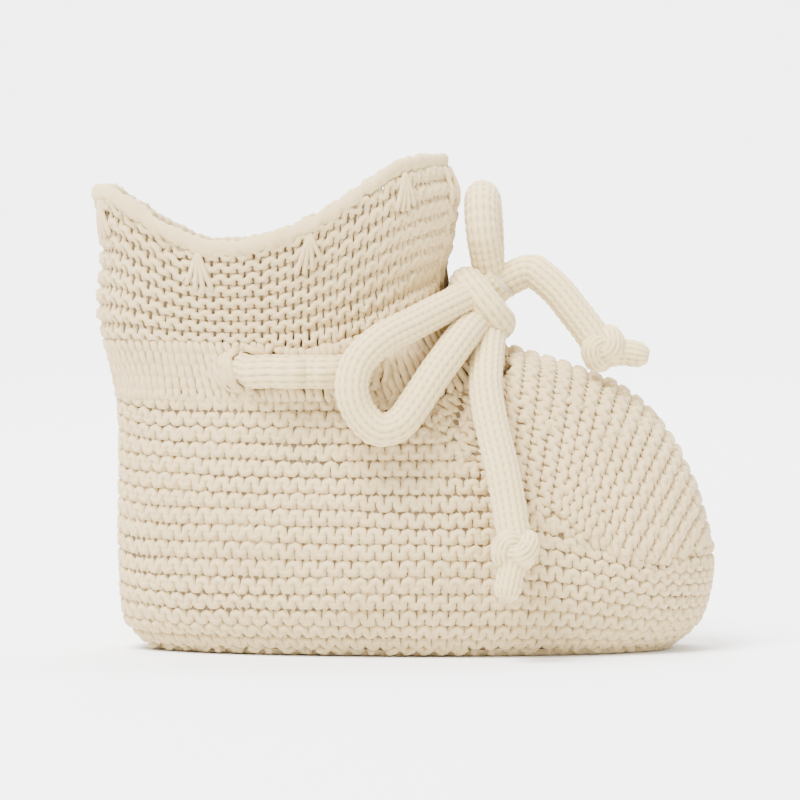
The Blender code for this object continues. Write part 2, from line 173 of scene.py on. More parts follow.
def piece_of(name, mesh, material):
    """A finished mesh as an object of its own, with its one material."""
    mesh.shade_smooth()
    mesh.materials.append(material)
    piece = bpy.data.objects.new(name, mesh)
    bpy.context.scene.collection.objects.link(piece)
    return piece


def piece_from(name, bm, material):
    """The same from a bmesh, which is freed."""
    mesh = bpy.data.meshes.new(name)
    bm.to_mesh(mesh)
    bm.free()
    return piece_of(name, mesh, material)


def walk_along(points):
    """How far along the line each of its points lies."""
    return np.concatenate([[0], np.cumsum(np.linalg.norm(np.diff(points, axis=0), axis=1))])


def strand_mesh(name, centres, sides, radius, material):
    """Tubes of yarn swept along runs of points. centres is a list of (n, 3) arrays in metres; radius is
    one value, or for each run an array of a value for every ring and side."""
    all_points = []
    all_faces = []
    all_uv = []
    start = 0
    turn = np.arange(sides) * 2 * math.pi / sides
    for number, run in enumerate(centres):
        count = len(run)
        thick = radius if np.isscalar(radius) else radius[number][:, :, None]
        if count < 3:
            continue
        along = np.gradient(run, axis=0)
        along /= np.maximum(np.linalg.norm(along, axis=1), 1e-9)[:, None]
        side = np.zeros_like(along)
        guide = np.array([0.0, 0.0, 1.0]) if abs(along[0, 2]) < 0.9 else np.array([1.0, 0.0, 0.0])
        for i in range(count):
            guide = guide - along[i] * guide.dot(along[i])
            guide = guide / np.linalg.norm(guide)
            side[i] = guide
        other = np.cross(along, side)
        ring = (run[:, None, :] + thick * (np.cos(turn)[None, :, None] * side[:, None, :]
                                            + np.sin(turn)[None, :, None] * other[:, None, :]))
        all_points.append(ring.reshape(-1, 3))
        all_points.append(run[[0, -1]])
        i = np.arange(count - 1)[:, None]
        j = np.arange(sides)[None, :]
        k = (j + 1) % sides
        quads = np.stack([start + i * sides + j, start + (i + 1) * sides + j,
                          start + (i + 1) * sides + k, start + i * sides + k], axis=-1).reshape(-1, 4)
        first = start + count * sides
        caps = [(first, start + a, start + (a + 1) % sides) for a in range(sides)]
        base = start + (count - 1) * sides
        caps += [(first + 1, base + (a + 1) % sides, base + a) for a in range(sides)]
        all_faces.append((quads, np.array(caps)))
        length = walk_along(run) * 1000
        u0 = np.broadcast_to(length[:-1, None], (count - 1, sides))
        u1 = np.broadcast_to(length[1:, None], (count - 1, sides))
        v0 = np.broadcast_to(j / sides, (count - 1, sides))
        v1 = np.broadcast_to((j + 1) / sides, (count - 1, sides))
        uv = np.stack([np.stack([u0, v0], -1), np.stack([u1, v0], -1), np.stack([u1, v1], -1),
                       np.stack([u0, v1], -1)], axis=2)
        all_uv.append((uv.reshape(-1, 2), np.zeros((len(caps) * 3, 2))))
        start = first + 2
    points = np.concatenate(all_points)
    corners = np.concatenate([np.concatenate([q.reshape(-1), t.reshape(-1)]) for q, t in all_faces])
    sizes = np.concatenate([np.concatenate([np.full(len(q), 4), np.full(len(t), 3)]) for q, t in all_faces])
    uv = np.concatenate([np.concatenate([a, b]) for a, b in all_uv])
    mesh = bpy.data.meshes.new(name)
    mesh.vertices.add(len(points))
    mesh.vertices.foreach_set("co", points.astype(np.float32).ravel())
    mesh.loops.add(len(corners))
    mesh.loops.foreach_set("vertex_index", corners.astype(np.int32))
    mesh.polygons.add(len(sizes))
    mesh.polygons.foreach_set("loop_start", np.concatenate([[0], np.cumsum(sizes)[:-1]]).astype(np.int32))
    mesh.polygons.foreach_set("loop_total", sizes.astype(np.int32))
    mesh.update(calc_edges=True)
    mesh.uv_layers.new(name="strand").data.foreach_set("uv", uv.astype(np.float32).ravel())
    return piece_of(name, mesh, material)


def skin(*names):
    """One ray-casting tree over the faces of these CAD nodes."""
    points = []
    faces = []
    for name in names:
        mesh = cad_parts[name].data
        first = len(points)
        points += [v.co.copy() for v in mesh.vertices]
        faces += [[first + i for i in p.vertices] for p in mesh.polygons]
    return BVHTree.FromPolygons(points, faces)


RAY_REACH = 0.12           # rays start this far out, well clear of the bootie
EDGE_FEEL = 0.0115         # a ray from 10 mm outside that lands within this meets the section itself


class Skirt:
    """The outer face of an upright section: a grid over the angle round it and the height.
    Rays start outside and run to a spine, a level line of this middle and half length."""

    def __init__(self, tree, middle, half, low, high, step, angles=180):
        self.low, self.step, self.count = low, step, angles
        self.rows = int(round((high - low) / step)) + 1
        turn = np.arange(angles) * 2 * math.pi / angles
        out = np.stack([-np.cos(turn), -np.sin(turn), np.zeros(angles)], axis=1)
        self.spine = np.stack([middle - half * np.cos(turn), np.zeros(angles), np.zeros(angles)], axis=1)
        self.reach = np.zeros((self.rows, angles))
        self.held = np.zeros((self.rows, angles), bool)
        for i in range(self.rows):
            z = low + step * i
            for j in range(angles):
                base = Vector(self.spine[j]) + Vector((0, 0, z))
                way = Vector(out[j])
                hit = tree.ray_cast(base + way * RAY_REACH, -way, RAY_REACH)
                if hit[0] is not None:
                    self.reach[i, j] = RAY_REACH - hit[3]
                    self.held[i, j] = True
        every = np.arange(self.rows)
        for j in range(angles):
            met = np.flatnonzero(self.held[:, j])
            self.reach[:, j] = np.interp(every, met, self.reach[met, j])
        heights = low + step * np.arange(self.rows)
        self.place = (self.spine[None] + out[None] * self.reach[..., None])
        self.place[..., 2] = heights[:, None]
        soft = self.place.copy()
        for _ in range(3):
            soft = (np.roll(soft, 1, 1) + 2 * soft + np.roll(soft, -1, 1)) / 4
        self.place = soft
        round_way = np.roll(soft, -1, 1) - np.roll(soft, 1, 1)
        up_way = np.gradient(soft, axis=0)
        normal = np.cross(up_way, round_way)
        normal /= np.maximum(np.linalg.norm(normal, axis=2), 1e-12)[..., None]
        if (normal[:, :, 0] * out[None, :, 0] + normal[:, :, 1] * out[None, :, 1]).mean() < 0:
            normal = -normal
        self.normal = normal

    def edges(self, tree):
        """The lowest and highest heights at each angle at which the rays meet this tree."""
        low = np.full(self.count, self.low)
        high = np.full(self.count, self.low)
        turn = np.arange(self.count) * 2 * math.pi / self.count
        for j in range(self.count):
            way = Vector((-math.cos(turn[j]), -math.sin(turn[j]), 0))
            met = [self.low + self.step * i for i in range(self.rows)
                   if tree.ray_cast(Vector(self.place[i, j]) + way * 0.01, -way, EDGE_FEEL)[0] is not None]
            if met:
                low[j], high[j] = met[0], met[-1]
        return low, high

    def read(self, around, height):
        """Points and outward directions at these places round (in turns) and heights."""
        u = (around % 1.0) * self.count
        v = np.clip((height - self.low) / self.step, 0, self.rows - 1.001)
        j, i = np.floor(u).astype(int) % self.count, np.floor(v).astype(int)
        fu, fv = (u - np.floor(u))[..., None], (v - i)[..., None]
        k = (j + 1) % self.count

        def mix(grid):
            return ((grid[i, j] * (1 - fu) + grid[i, k] * fu) * (1 - fv)
                    + (grid[i + 1, j] * (1 - fu) + grid[i + 1, k] * fu) * fv)

        return mix(self.place), mix(self.normal)

    def even(self, height):
        """Turns round as a function of the share of the way round, so that stitches are equally wide."""
        fine = np.linspace(0, 1, 721)
        if np.isscalar(height):
            level = np.full(len(fine), height)
        else:
            level = np.interp(fine, np.linspace(0, 1, self.count + 1), np.append(height, height[0]))
        points, _ = self.read(fine, level)
        walked = walk_along(points)
        return walked[-1], lambda share: np.interp(share % 1.0, walked / walked[-1], fine) + np.floor(share)


STITCH = 0.00268           # width of a stitch
COURSE = 0.00140           # height of a row; two rows make one garter ridge
YARN = 0.00068             # half the yarn's thickness in a stitch
DEPTH = 0.00070            # how far the yarn weaves to each side of the fabric's middle
LOOP_POINTS = 11           # points along the yarn of one stitch


def loop_shape(count, style):
    """One row of loops in stitch units: along the row, up in row heights, and out towards the front.
    A garter row comes to the front at its heads or at its feet; a smooth row shows its legs."""
    t = np.arange(count * LOOP_POINTS + 1) / LOOP_POINTS
    a = 2 * math.pi * t
    along = t + 0.13 * np.sin(2 * a)
    up = 0.86 * np.cos(a)
    if style == "heads":
        out = np.cos(a) - 0.25 * np.cos(2 * a)
    elif style == "feet":
        out = -np.cos(a) - 0.25 * np.cos(2 * a)
    else:
        out = -1.0 * np.cos(2 * a)
    return along, up, out


dice = np.random.default_rng(11)
SLOW_WAVES = ((0.5, 3, 0.21, 0.7), (0.3, 7, -0.37, 2.1), (0.2, 13, 0.52, 4.0))


def wobble(around, height, size):
    """A slow unevenness of hand-pulled fabric, the same each time. Each wave has its share, its number
    of times round, its slant up the fabric and its start."""
    turn = around * 2 * math.pi
    h = height * 1000
    return size * sum(share * np.sin(times * turn + slant * h + start)
                      for share, times, slant, start in SLOW_WAVES)


SHORTEST_RUN = 4           # points; a shorter scrap of yarn is dropped


def runs_of(points, keep):
    """The stretches of a row's points where keep holds."""
    edges = np.flatnonzero(np.diff(np.concatenate([[0], keep.astype(int), [0]])))
    return [points[a:b] for a, b in zip(edges[::2], edges[1::2]) if b - a >= SHORTEST_RUN]


def jitter(count, size):
    """One random value for each stitch, spread smoothly over its points."""
    knots = dice.normal(0.0, size, count + 1)
    return np.interp(np.arange(count * LOOP_POINTS + 1) / LOOP_POINTS, np.arange(count + 1), knots)


all_knit = skin("foot_wall", "instep_panel", "sole", "ankle_band", "cuff", "cuff_edge")
foot = Skirt(all_knit, middle=0.0, half=0.026, low=0.0004, high=0.0460, step=0.0005)
leg = Skirt(skin("ankle_band", "cuff", "cuff_edge"), middle=-0.023, half=0.014, low=0.0420, high=0.0835,
            step=0.0005)

PANEL_STITCHES = 26        # right across the panel at its widest
PANEL_HEART = np.array([0.012, 0.0, 0.015])    # a point inside the foot that the panel faces away from
PANEL_DEEP = 0.020         # the rays of a row meet this far under the top of the foot
PANEL_START = 0.0040       # the panel's grid starts here, level, under the front of the ankle band
PANEL_TOP = 0.0530         # at this height
PANEL_SHOULDER = 0.0110    # and follows the foot down from here
PANEL_FOOT = 0.0150        # to this height at the toe
PANEL_STEP = 0.0005
PANEL_NEAR = 0.0004        # a ray that lands this near to the panel has met it
# How far its rows lean back from upright, in degrees, at these places along the foot.
LEANS = ((0.004, 34.0), (0.010, 20.0), (0.0145, 6.0), (0.027, 11.0), (0.043, 31.0), (0.050, 34.0))


class Panel:
    """The outer face of the top of the foot: a grid over the way from the ankle to the toe and the way
    across, both in metres on the surface."""

    def __init__(self, tree, own, reach, half):
        profile = [(x, PANEL_TOP) for x in np.arange(PANEL_START, PANEL_SHOULDER, 0.0002)]
        for z in np.arange(PANEL_TOP, PANEL_FOOT, -0.0002):
            hit = tree.ray_cast(Vector((RAY_REACH, 0, z)), Vector((-1, 0, 0)), RAY_REACH)
            if hit[0] is not None:
                profile.append((hit[0].x, hit[0].z))
        profile = np.array(profile)
        walked = walk_along(profile)
        self.length = min(walked[-1], reach)
        self.rows = int(self.length / PANEL_STEP) + 1
        self.half = half
        self.columns = 2 * int(half / PANEL_STEP) + 1
        across = (np.arange(self.columns) - self.columns // 2) * PANEL_STEP
        self.place = np.zeros((self.rows, self.columns, 3))
        self.held = np.zeros((self.rows, self.columns))
        fans = np.radians(np.arange(-150, 151, 1.5))
        for i in range(self.rows):
            s = i * PANEL_STEP
            x, z = (np.interp(s, walked, profile[:, k]) for k in (0, 1))
            lean = math.radians(np.interp(x, [k[0] for k in LEANS], [k[1] for k in LEANS]))
            down = Vector((-math.sin(lean), 0, -math.cos(lean)))
            root = Vector((x, 0, z)) + down * PANEL_DEEP
            points = []
            mine = []
            for fan in fans:
                way = -down * math.cos(fan) + Vector((0, 1, 0)) * math.sin(fan)
                spot = tree.ray_cast(root + way * 0.05, -way, 0.05)[0]
                if spot is None or (abs(fan) < 1.0 and (spot - root).length > PANEL_DEEP * 1.15):
                    spot = root + way * PANEL_DEEP
                points.append(spot)
                mine.append(1.0 if own.find_nearest(spot)[3] < PANEL_NEAR else 0.0)
            points = np.array(points)
            walk = walk_along(points)
            walk -= walk[len(fans) // 2]
            for k in range(3):
                self.place[i, :, k] = np.interp(across, walk, points[:, k])
            self.held[i] = np.interp(across, walk, mine)
        self.place = self.soften(self.place)
        normal = np.cross(np.gradient(self.place, axis=0), np.gradient(self.place, axis=1))
        normal /= np.maximum(np.linalg.norm(normal, axis=2), 1e-12)[..., None]
        inside = ((self.place - PANEL_HEART) * normal).sum(axis=2) < 0
        normal[inside] *= -1
        self.normal = self.soften(normal)
        self.normal /= np.maximum(np.linalg.norm(self.normal, axis=2), 1e-12)[..., None]

    def soften(self, grid):
        """Takes the facets out of a grid."""
        for _ in range(4):
            grid[1:-1] = (grid[:-2] + 2 * grid[1:-1] + grid[2:]) / 4
            grid[:, 1:-1] = (grid[:, :-2] + 2 * grid[:, 1:-1] + grid[:, 2:]) / 4
        return grid

    def read(self, ahead, across):
        """Points, outward directions and how surely the panel is there."""
        u = np.clip(ahead / PANEL_STEP, 0, self.rows - 1.001)
        v = np.clip(across / PANEL_STEP + self.columns // 2, 0, self.columns - 1.001)
        i, j = u.astype(int), v.astype(int)
        fu, fv = u - i, v - j

        def mix(grid):
            a, b = (fu[..., None], fv[..., None]) if grid.ndim == 3 else (fu, fv)
            return ((grid[i, j] * (1 - b) + grid[i, j + 1] * b) * (1 - a)
                    + (grid[i + 1, j] * (1 - b) + grid[i + 1, j + 1] * b) * a)

        return mix(self.place), mix(self.normal), mix(self.held)


panel = Panel(all_knit, skin("instep_panel"), reach=0.080, half=PANEL_STITCHES * STITCH / 2)
panel_spots = panel.place[panel.held > 0.5]
held_tree = KDTree(len(panel_spots))
for number, spot in enumerate(panel_spots):
    held_tree.insert(Vector(spot), number)
held_tree.balance()


def off_the_panel(points, clear):
    """Which of these surface points lie clear of the instep panel."""
    return np.array([held_tree.find(Vector(p))[2] > clear for p in points])


band_low, band_high = leg.edges(skin("ankle_band"))
band_low = np.minimum(band_low, band_high - 0.006)


BACK_INSET = 0.0012        # the fabric's middle lies this far under its outer face


def thin_sheet(name, bm, material):
    """A finished sheet of cloth from its middle surface."""
    piece = piece_from(name, bm, material)
    wall = piece.modifiers.new("wall", "SOLIDIFY")
    wall.thickness = 0.0004
    wall.offset = 0.0
    return piece


def sheet_of(name, skirt, base, top, inset, rows, material, holes=None):
    """The fabric's middle: a thin sheet behind the yarn, so that no light comes through the stitches.
    It is left open wherever holes, a function of a point, holds."""
    count = skirt.count
    around = np.arange(count) / count
    grid = []
    for i in range(rows + 1):
        points, out = skirt.read(around, base + (top - base) * i / rows)
        grid.append(points - out * inset)
    bm = bmesh.new()
    verts = [[bm.verts.new(p) for p in row] for row in grid]
    for i in range(rows):
        for j in range(count):
            k = (j + 1) % count
            if holes is None or not holes(verts[i][j].co):
                bm.faces.new((verts[i][k], verts[i][j], verts[i + 1][j], verts[i + 1][k]))
    bmesh.ops.delete(bm, geom=[v for v in bm.verts if not v.link_faces], context="VERTS")
    return thin_sheet(name, bm, material)


def backing_material():
    """Yarn seen deep between the stitches: the same cotton, with painted shade that makes it darker and
    warmer, as it looks deep in the gaps where the light has bounced, and with a coarser fuzz."""
    made = bpy.data.materials.new("yarn_in_the_gaps_painted_shade")
    made.use_nodes = True
    tree = made.node_tree
    shader = tree.nodes["Principled BSDF"]
    # painted shade: the yarn's own colour darkened and warmed to the shade deep between the stitches
    shader.inputs["Base Color"].default_value = linear("#78664A")
    shader.inputs["Roughness"].default_value = 0.95
    shader.inputs["Specular IOR Level"].default_value = 0.2
    place = node(tree, "ShaderNodeTexCoord")
    fibre = node(tree, "ShaderNodeTexNoise", {"Scale": 500 * FIBRES_PER_MM, "Detail": 3.0},
                 {"Vector": place.outputs["Object"]})
    fuzz = node(tree, "ShaderNodeBump", {"Strength": 0.8, "Distance": 0.0002},
                {"Height": fibre.outputs["Fac"]})
    tree.links.new(fuzz.outputs["Normal"], shader.inputs["Normal"])
    return made


gap_yarn_painted_shade = backing_material()
_, wall_top = foot.edges(skin("foot_wall"))
angle_share = np.arange(foot.count + 1) / foot.count


def top_at(around, tops):
    """The height of an edge, kept by angle, at these places round."""
    return np.interp(around % 1.0, angle_share, np.append(tops, tops[0]))


# Rows are evenly spaced up the fabric, so heights are read off the way up its near side.
side_heights = np.linspace(foot.low, 0.0455, 200)
side_points, _ = foot.read(np.full(200, 0.25), side_heights)
side_walk = walk_along(side_points)
TOE_DIP = 0.0058
HEEL_RISE = 0.0014


def toe_dip(around, height):
    """Beside the instep the rows swing down towards the toe, to run along the join."""
    from_toe = np.abs((around % 1.0) - 0.5)
    bend = np.clip((0.21 - from_toe) / 0.13, 0, 1)
    rise = np.clip(height / 0.020, 0, 1)
    return TOE_DIP * bend * bend * (3 - 2 * bend) * rise


def heel_rise(around, height):
    """At the heel the rows are drawn up a little by the back seam."""
    from_heel = np.abs((around + 0.5) % 1.0 - 0.5)
    return HEEL_RISE * np.exp(-(from_heel / 0.045) ** 2) * np.clip(height / 0.010, 0, 1)


foot_length, foot_even = foot.even(0.020)
FOOT_STITCHES = 2 * round(foot_length / STITCH / 2)
FIRST_ROW = 0.9            # courses from the floor to the middle of the first row
WALL_REACH = 1.22          # how much further than its own course a loop of the wall reaches


def wall_rows(first, last):
    """The wall's garter rows between two stitches of the round."""
    rows = []
    count = last - first
    for j in range(math.ceil(side_walk[-1] / COURSE - 0.5)):
        along, up, out = loop_shape(count, "feet" if j % 2 else "heads")
        size = 1 + jitter(count, 0.09)
        share = (first + along + jitter(count, 0.05)) / FOOT_STITCHES
        around = foot_even(share)
        reach = (WALL_REACH * (up - 0.5) + 0.5) * size
        level = np.interp((j + FIRST_ROW + reach) * COURSE, side_walk, side_heights)
        level = level + wobble(around, level, 0.00030) * np.clip(level / 0.006, 0, 1) - toe_dip(around, level)
        level = level + heel_rise(around, level)
        points, normal = foot.read(around, level)
        keep = (level < top_at(around, band_low) + 0.0002) & off_the_panel(points, 0.0002)
        sunk = YARN + DEPTH - DEPTH * out * size - wobble(around, level, 0.0002)
        rows += runs_of(points - normal * sunk[:, None], keep)
    return rows


half_way = FOOT_STITCHES // 2
for side, first in (("near", 0), ("far", half_way)):
    piece = strand_mesh(f"foot_wall_{side}", wall_rows(first, first + half_way), 6, YARN, yarn)
    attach(piece, "bootie")
    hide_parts("foot_wall")
wall_back = sheet_of("foot_wall_middle", foot, np.full(foot.count, foot.low), wall_top, BACK_INSET, 24,
                     gap_yarn_painted_shade)
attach(wall_back, "bootie")


# ======================================================================================
# Sole. A flat piece of the same garter knit whose rows run across the foot, seen only
# from below; it lies level with the wall's cast-on edge, which is sewn round it.
# ======================================================================================
SOLE_INSET = 0.0014        # its middle stops this far inside the wall's outer face
SOLE_FELT = 0.0023         # where a ray up from under the floor meets fabric, the sole is there
EDGE_INSET = 0.0034        # the cast-on loops turn under by this much
sole_low, sole_high = (np.array(c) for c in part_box("foot_wall"))
upright = Vector((0, 0, 1))


def sole_rows():
    """The sole's garter rows, each cut to the outline of the foot."""
    rows = []
    count = int(math.ceil((sole_high[1] - sole_low[1]) / STITCH))
    number = int((sole_high[0] - sole_low[0]) / COURSE)
    for j in range(number):
        along, up, out = loop_shape(count, "feet" if j % 2 else "heads")
        points = np.stack([sole_low[0] + (j + 0.5 + up) * COURSE, (along - count / 2) * STITCH,
                           YARN + DEPTH - DEPTH * out], axis=1)
        keep = np.array([all_knit.ray_cast(Vector((x, y, -0.002)), upright, SOLE_FELT)[0] is not None
                         for x, y in points[:, :2]])
        rows += runs_of(points, keep)
    return rows


sole_piece = strand_mesh("sole_knit", sole_rows(), 5, YARN, yarn)
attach(sole_piece, "bootie")
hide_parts("sole")


def flat_sheet(name, outline, height, material):
    """A level sheet of fabric with this outline."""
    bm = bmesh.new()
    bm.faces.new([bm.verts.new((p[0], p[1], height)) for p in outline])
    bmesh.ops.triangulate(bm, faces=bm.faces[:])
    return thin_sheet(name, bm, material)


def cast_on_edge():
    """The first edge of the foot wall: small loops right round the bottom, with the sole sewn to them."""
    around = np.linspace(0, 1, FOOT_STITCHES * 8 + 1)
    line, out = foot.read(around, np.full(len(around), 0.0010))
    wave = around * FOOT_STITCHES * 2 * math.pi
    line = line - out * (EDGE_INSET + 0.0002 * np.cos(wave))[:, None]
    line[:, 2] = YARN + 0.00005 + 0.00005 * np.sin(wave)
    return line


edge_piece = strand_mesh("cast_on_edge", [cast_on_edge()], 6, YARN, yarn)
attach(edge_piece, "bootie")

sole_edge, sole_out = foot.read(np.arange(180) / 180, np.full(180, 0.0012))
sole_back = flat_sheet("sole_middle", sole_edge - sole_out * SOLE_INSET, 0.0016, gap_yarn_painted_shade)
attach(sole_back, "bootie")


# ======================================================================================
# Instep panel. Garter knit worked out from the ankle over the top of the foot to the
# toe; its rows run across the foot and lean back a little, more so towards the toe.
# ======================================================================================
PANEL_SURE = 0.2           # rows run on to where the panel is only this surely there
CHAIN_SWAY = 0.00070
CHAIN_DIP = 0.00055


def panel_rows():
    """The panel's garter rows, each as wide as the panel is there."""
    rows = []
    for j in range(int(panel.length / COURSE)):
        along, up, out = loop_shape(PANEL_STITCHES, "feet" if j % 2 else "heads")
        size = 1 + jitter(PANEL_STITCHES, 0.05)
        across = (along + jitter(PANEL_STITCHES, 0.03) - PANEL_STITCHES / 2) * STITCH
        ahead = (j + 0.5 - up * size) * COURSE
        points, normal, held = panel.read(ahead, across)
        points = points - normal * (YARN + DEPTH - DEPTH * out * size)[:, None]
        rows += runs_of(points, held > PANEL_SURE)
    return rows


def join_chain():
    """The picked-up stitches along the join: one strand that dips into the fabric at every stitch."""
    covered = np.linspace(0.255, 0.745, 700)
    line, out = foot.read(covered, top_at(covered, wall_top))
    beside = ~off_the_panel(line, 0.0016)
    first, last = np.flatnonzero(beside)[[0, -1]]
    line, out = line[first:last], out[first:last]
    walked = walk_along(line)
    turn = walked / STITCH * 2 * math.pi
    up = np.cross(np.gradient(line, axis=0), out)
    up /= np.linalg.norm(up, axis=1)[:, None]
    sunk = YARN * 1.9 - CHAIN_DIP * np.cos(turn)
    return line - out * sunk[:, None] + up * (CHAIN_SWAY * np.sin(turn))[:, None]


instep = strand_mesh("instep_knit", panel_rows() + [join_chain()], 6, YARN, yarn)
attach(instep, "bootie")
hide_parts("instep_panel")


def panel_sheet(name, inset, material):
    """The panel's middle: a thin sheet behind its yarn."""
    bm = bmesh.new()
    verts = {}
    step = 3
    for i in range(0, panel.rows - step, step):
        for j in range(0, panel.columns - step, step):
            corners = ((i, j), (i + step, j), (i + step, j + step), (i, j + step))
            if min(panel.held[c] for c in corners) < 0.4:
                continue
            for c in corners:
                if c not in verts:
                    verts[c] = bm.verts.new(panel.place[c] - panel.normal[c] * inset)
            bm.faces.new([verts[c] for c in corners])
    bmesh.ops.recalc_face_normals(bm, faces=bm.faces)
    return thin_sheet(name, bm, material)


instep_back = panel_sheet("instep_middle", BACK_INSET, gap_yarn_painted_shade)
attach(instep_back, "bootie")


# ======================================================================================
# Tie cord round the ankle. A tube knitted on a few needles, with small upright stitches
# all round it; it is woven through the eyelets of the band and comes out at the bow.
# ======================================================================================
CORD = 0.0056              # its diameter
CORD_COLUMNS = 14          # columns of stitches round it
COLUMN_SIDES = 4           # facets across a column
CORD_STITCH = 0.0014       # length of a stitch
CORD_RELIEF = 0.00038      # how far the stitches stand out
CORD_RING = CORD_STITCH / 4
BOW = np.array([11.0, -4.4, 57.4]) / 1000      # the middle of the bow's knot, in front of the ankle
ANKLE_X = -0.022           # the middle of the ankle
TIP_THIN = 0.2             # share of its thickness that the cord loses in its stopper knot

cord_yarn = yarn_material("spun_cotton_cord", "#E0C992", "#CEB67C", ply_mm=1.4, ply_height=0.00002,
                          fuzz_height=0.00010, columns=CORD_COLUMNS)


def smooth_line(points, spacing):
    """Evenly spaced points on a smooth line through these."""
    p = np.array(points, float)
    p = np.vstack([2 * p[0] - p[1], p, 2 * p[-1] - p[-2]])
    t = np.linspace(0, 1, 24, endpoint=False)[:, None]
    fine = []
    for a, b, c, d in zip(p, p[1:], p[2:], p[3:]):
        fine.append((2 * b + (c - a) * t + (2 * a - 5 * b + 4 * c - d) * t ** 2
                     + (3 * b - a - 3 * c + d) * t ** 3) / 2)
    fine = np.vstack(fine + [p[-2:-1]])
    walked = walk_along(fine)
    marks = np.linspace(0, walked[-1], max(4, round(walked[-1] / spacing)) + 1)
    return np.stack([np.interp(marks, walked, fine[:, k]) for k in range(3)], axis=1)


def length_of(path):
    """The length of a line, in metres."""
    return float(np.linalg.norm(np.diff(path, axis=0), axis=1).sum())


def stitches_round(column, length):
    """The relief of the cord's stitches: column runs from -0.5 to 0.5 across each, length is in metres."""
    crown = np.cos(math.pi * column) - 0.25 * np.cos(2 * math.pi * column)
    links = np.cos(2 * math.pi * (length / CORD_STITCH + 0.7 * np.abs(column)))
    return CORD_RELIEF * (crown + 0.22 * links - 0.9)


def knitted_tube(name, path, radius=CORD / 2):
    """Knitted cord along a path: columns of little V-shaped stitches round a tube. radius is one value,
    or a column with a value for every point of the path."""
    sides = CORD_COLUMNS * COLUMN_SIDES
    length = np.linspace(0, length_of(path), len(path))[:, None]
    column = ((np.arange(sides) / COLUMN_SIDES) % 1.0 - 0.5)[None, :]
    return strand_mesh(name, [path], sides, [radius + stitches_round(column, length)], cord_yarn)


def line_of(name, key, count, spread):
    """The centre line of a CAD tube whose points can be told apart along it by a key."""
    points = np.array([v.co[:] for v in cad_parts[name].data.vertices])
    keys = key(points)
    marks = np.linspace(keys.min() + spread, keys.max() - spread, count)
    weight = np.exp(-((marks[:, None] - keys[None, :]) / spread) ** 2)
    return (weight[:, :, None] * points[None]).sum(1) / weight.sum(1)[:, None]


def round_ankle(points):
    """Angle round the ankle, from the heel."""
    return np.arctan2(points[:, 1], ANKLE_X - points[:, 0])


ankle_line = line_of("ankle_cord", round_ankle, 72, 0.04)
near_front = [BOW + np.array(p) / 1000 for p in ((-1.0, -2.6, 0.2), (-4.6, -5.0, 0.4))]
far_front = [BOW + np.array(p) / 1000 for p in ((-4.6, 5.4, 0.4), (-1.0, 2.6, 0.2))]
if ankle_line[0][1] > 0:
    ankle_line = ankle_line[::-1]
ankle_path = smooth_line(near_front + list(ankle_line) + far_front, CORD_RING)
ankle = knitted_tube("ankle_tie", ankle_path)
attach(ankle, "bootie")
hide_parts("ankle_cord")


# ======================================================================================
# Bow. The same knitted cord tied in front: a wrap over a core, one loop hanging on the
# side of the ankle, one standing up behind, and two ends, each with a stopper knot.
# ======================================================================================
WRAP_WAY = np.array([0.62, 0.0, -0.78])        # the wrap lies in this direction and straight back
WRAP_HALF = (0.0040, 0.0048)                   # and its middle line reaches this far in each
WRAP_THICK = 0.0031        # its radius: the cord is drawn flat and wide there
END_KNOT = 0.0043          # radius of a stopper knot
KNOT_STRAND = 0.0021       # radius of the cord in it
KNOT_LOBE = 0.00074        # size of its turns
THINNING = 0.003           # length in which the cord thins into it
GAP = 0.0003               # clearance between the knot and the cord's two parts
turns = np.linspace(0, 2 * math.pi, 72, endpoint=False)[:, None]


def in_metres(route):
    """A cord's chosen points, which are written in millimetres."""
    return [np.array(p) / 1000 for p in route]


def knot_strand(name, centres, radius):
    """A closed strand of knitted cord drawn tight in a knot."""
    return knitted_tube(name, np.vstack([centres, centres[:2]]), radius)


backwards = np.array([0.0, 1.0, 0.0])
wrap_line = BOW + WRAP_HALF[0] * np.cos(turns) * WRAP_WAY + WRAP_HALF[1] * np.sin(turns) * backwards
wrap = knot_strand("bow_wrap", wrap_line, WRAP_THICK)
CORE = ((-3.4, -1.0, -3.0), (-1.2, 0.2, -1.0), (1.0, 0.4, 1.4), (3.2, -0.4, 3.6))
core = knitted_tube("bow_core", smooth_line([BOW + p for p in in_metres(CORE)], CORD_RING))
for piece in (wrap, core):
    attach(piece, "bootie")
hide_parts("bow_knot")

SIDE_LOOP = ((12.8, -3.0, 57.6), (9.4, -6.8, 58.6), (4.4, -14.0, 56.8), (-0.7, -18.8, 54.4),
             (-5.8, -22.6, 51.9), (-9.4, -25.0, 48.4), (-10.4, -25.8, 44.4), (-9.2, -25.2, 40.4),
             (-6.2, -24.8, 37.6), (-2.8, -24.2, 38.4), (-0.2, -23.0, 41.6), (2.6, -21.0, 45.8),
             (5.6, -18.0, 49.8), (8.0, -13.6, 52.8), (9.8, -8.6, 54.4), (12.4, -3.4, 56.4))
TOP_LOOP = ((12.6, -1.2, 60.8), (11.6, -2.6, 65.8), (11.0, -3.8, 69.4), (10.8, -2.4, 73.0),
            (11.0, 1.6, 75.0), (11.6, 6.4, 74.2), (12.0, 10.0, 70.6), (12.2, 10.6, 66.2),
            (12.2, 8.8, 62.4), (12.6, 4.2, 59.4))
SIDE_END = ((12.4, -3.0, 56.6), (12.2, -7.6, 52.6), (11.6, -13.6, 48.4), (11.4, -18.8, 43.4),
            (12.4, -22.0, 37.6), (13.9, -24.4, 31.4), (15.0, -26.2, 25.4), (15.4, -27.2, 22.6))
FRONT_END = ((10.6, 0.0, 57.6), (14.2, -1.0, 60.6), (18.8, -2.4, 62.8), (21.2, -3.4, 61.6),
             (23.8, -4.4, 59.2), (26.0, -5.2, 56.4), (28.2, -5.8, 53.6))

